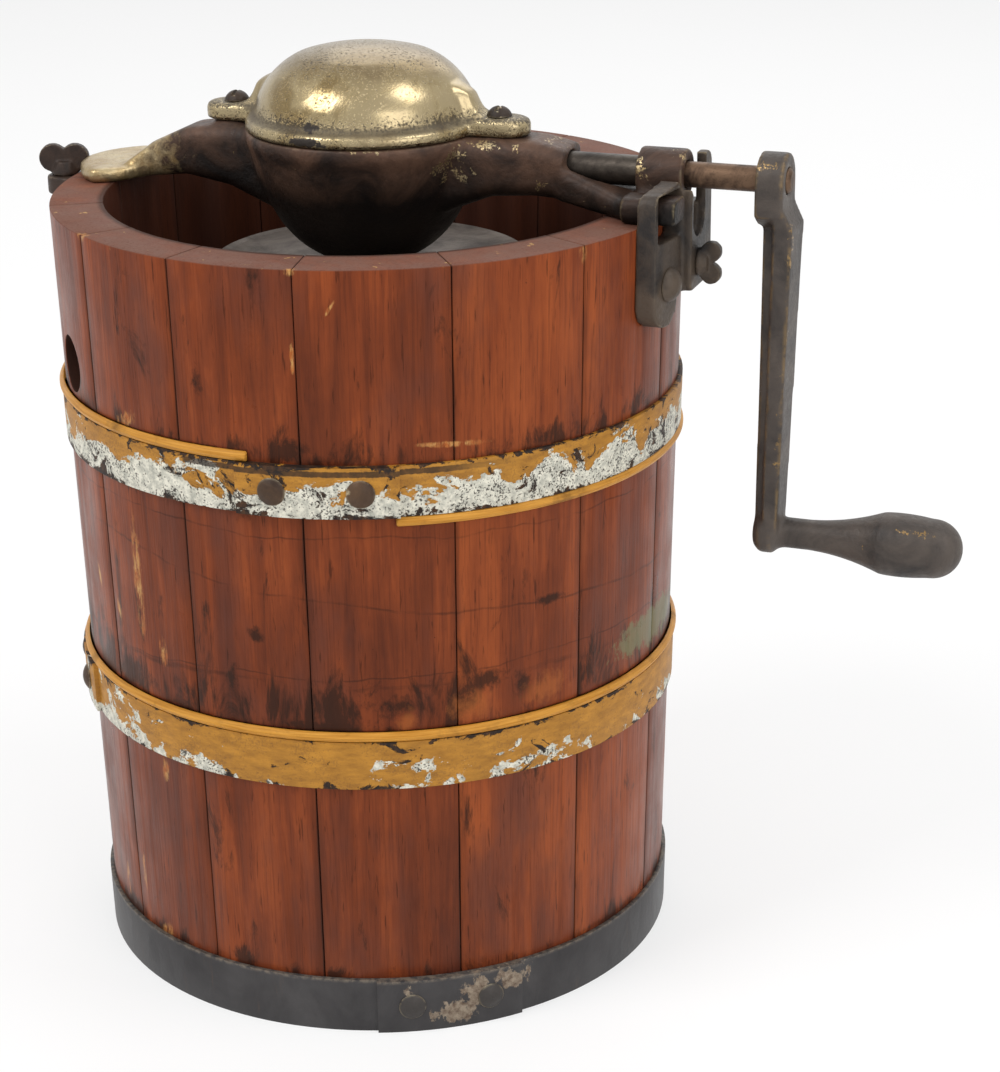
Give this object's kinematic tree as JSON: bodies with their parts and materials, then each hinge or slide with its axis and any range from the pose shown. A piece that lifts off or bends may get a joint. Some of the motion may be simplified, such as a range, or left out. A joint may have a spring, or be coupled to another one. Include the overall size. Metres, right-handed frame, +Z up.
{
  "type": "hand crank ice cream freezer",
  "caption": "Old staved wooden ice cream freezer with iron hoops, a cast gear frame, a domed gear cover and a side crank that turns the tin can one way and the dasher the other.",
  "frame": {"origin": "centre of the tub's foot, on the surface it stands on", "axes": "+Z up, +X out along the crank shaft towards the handle"},
  "size_m": [0.3106, 0.2028, 0.2951],
  "materials": {
    "varnished_wood": "satin",
    "painted_hoop": "matte",
    "worn_dark_hoop": "matte",
    "rivet_iron": "matte",
    "split_reed": "matte",
    "dark_iron": "satin",
    "worn_nickel": "satin",
    "bare_steel": "satin",
    "gear_iron": "matte",
    "grey_tinplate": "satin",
    "plain_wood": "matte"
  },
  "bodies": {
    "tub": {"stave_01": "varnished_wood", "stave_02": "varnished_wood", "stave_03": "varnished_wood", "stave_04": "varnished_wood", "stave_05": "varnished_wood", "stave_06": "varnished_wood", "stave_07": "varnished_wood", "stave_08": "varnished_wood", "stave_09": "varnished_wood", "stave_10": "varnished_wood", "stave_11": "varnished_wood", "stave_12": "varnished_wood", "stave_13": "varnished_wood", "stave_14": "varnished_wood", "stave_15": "varnished_wood", "tub_bottom": "varnished_wood", "bottom_pivot_plate": "dark_iron", "pivot_plate_screws": "dark_iron", "bottom_hoop": "worn_dark_hoop", "lower_hoop": "painted_hoop", "upper_hoop": "painted_hoop", "hoop_rivets": "rivet_iron", "lower_reed": "split_reed", "upper_reed_left": "split_reed", "upper_reed_right": "split_reed", "right_catch": "dark_iron", "right_catch_screw": "dark_iron", "left_bracket": "dark_iron", "left_bracket_screws": "dark_iron", "gear_frame": "dark_iron", "dome_cover": "worn_nickel", "dome_screws": "dark_iron"},
    "crank": {"crank_shaft": "bare_steel", "drive_pinion": "gear_iron", "crank_handle": "dark_iron"},
    "can": {"can_body": "grey_tinplate", "can_pivot": "gear_iron", "can_lid": "grey_tinplate", "lid_hub": "gear_iron", "lower_gear": "gear_iron", "lower_gear_hub": "gear_iron"},
    "dasher": {"upper_gear": "gear_iron", "dasher_stem": "bare_steel", "dasher_frame": "gear_iron", "scraper_right": "plain_wood", "scraper_left": "plain_wood"},
    "thumb_screw": {"left_thumb_screw": "dark_iron"},
    "wing_screw": {"right_wing_screw": "dark_iron"}
  },
  "joints": [
    {"name": "crank_turn", "type": "hinge", "parent": "tub", "child": "crank", "pos_m": [0.0985, 0, 0.2605], "axis": [1, 0, 0], "continuous": true},
    {"name": "can_turn", "type": "hinge", "parent": "tub", "child": "can", "pos_m": [0, 0, 0.231], "axis": [0, 0, 1], "continuous": true},
    {"name": "dasher_turn", "type": "hinge", "parent": "tub", "child": "dasher", "pos_m": [0, 0, 0.288], "axis": [0, 0, 1], "continuous": true},
    {"name": "thumb_screw_turn", "type": "hinge", "parent": "tub", "child": "thumb_screw", "pos_m": [-0.1085, 0, 0.2435], "axis": [0, 0, 1], "range_deg": [0, 180]},
    {"name": "wing_screw_turn", "type": "hinge", "parent": "tub", "child": "wing_screw", "pos_m": [0.105, 0, 0.2337], "axis": [1, 0, 0], "range_deg": [0, 180]}
  ],
  "couplings": [
    {"joint": "can_turn", "follows": "crank_turn", "ratio": 0.33333},
    {"joint": "dasher_turn", "follows": "crank_turn", "ratio": -0.33333}
  ]
}
